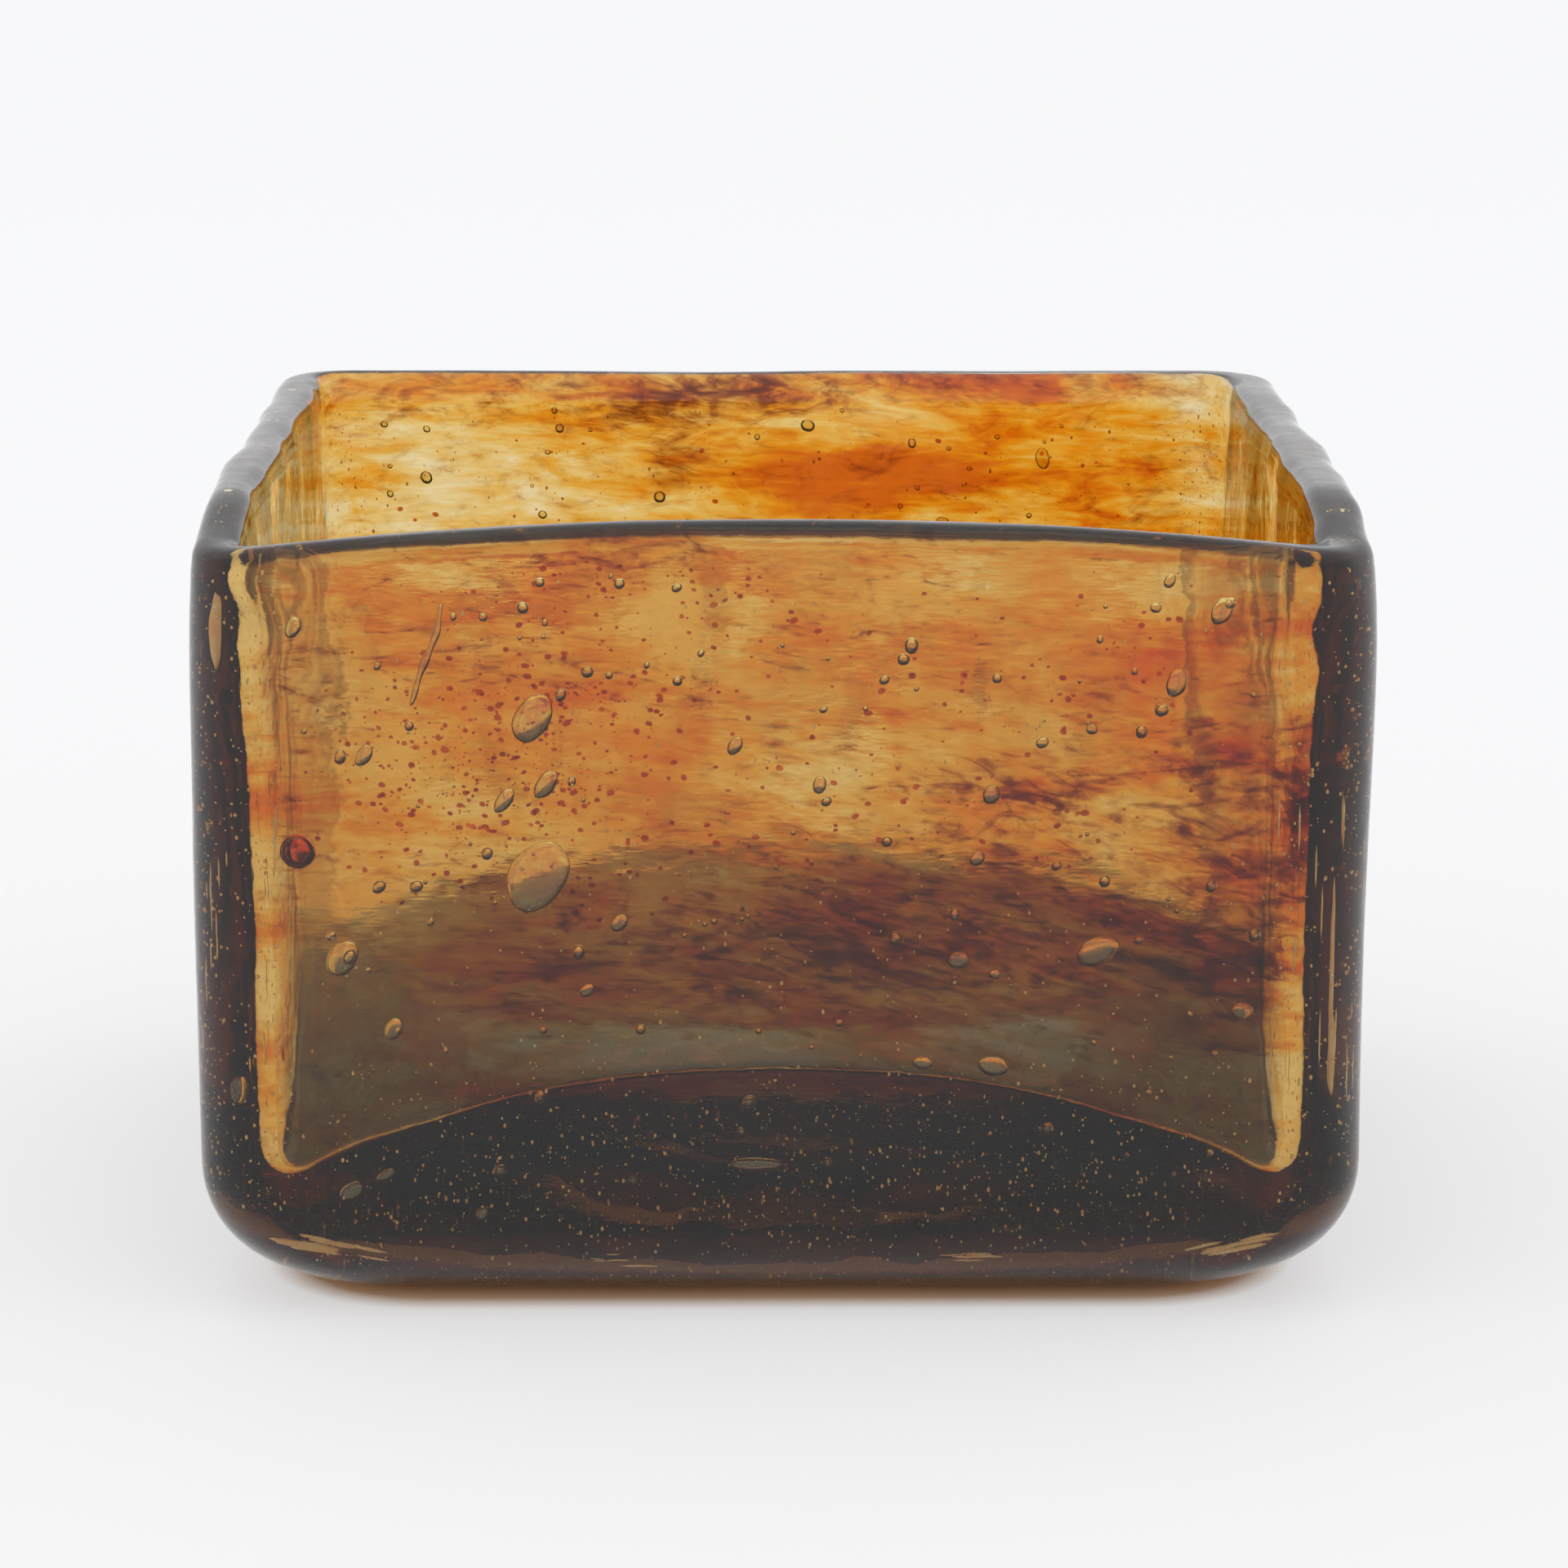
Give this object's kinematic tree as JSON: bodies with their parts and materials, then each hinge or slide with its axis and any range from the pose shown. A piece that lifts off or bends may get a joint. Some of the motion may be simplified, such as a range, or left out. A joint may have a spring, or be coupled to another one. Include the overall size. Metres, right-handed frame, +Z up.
{
  "type": "art glass bowl",
  "caption": "Heavy square bowl of mould-blown cased glass, smoky amber with streaked colour, rounded lip, domed floor, trapped air bubbles and a ground pontil mark.",
  "frame": {"origin": "centre of the square footprint, on the plane that the bowl stands on", "axes": "+Z up through the mouth, +X along the width, +Y towards the back"},
  "size_m": [0.14, 0.14, 0.097],
  "materials": {
    "smoky_casing": "fire-polished, slightly wavy, smoky amber",
    "streaked_colour": "melted-in streaks of amber, orange and red-brown",
    "amber_lining": "fire-polished, pale amber",
    "trapped_air": "clear, bright-edged air bubbles",
    "brown_grains": "dark red-brown specks of undissolved colour",
    "red_glass": "glossy red bead in the wall"
  },
  "bodies": {
    "root": {"outer_casing": "smoky_casing", "colour_layer": "streaked_colour", "inner_gather": "amber_lining", "pontil_wad": "smoky_casing", "large_bubbles": "trapped_air", "small_bubbles": "trapped_air", "straw_blister": "trapped_air", "colour_grains": "brown_grains", "red_bead": "red_glass"}
  },
  "joints": []
}
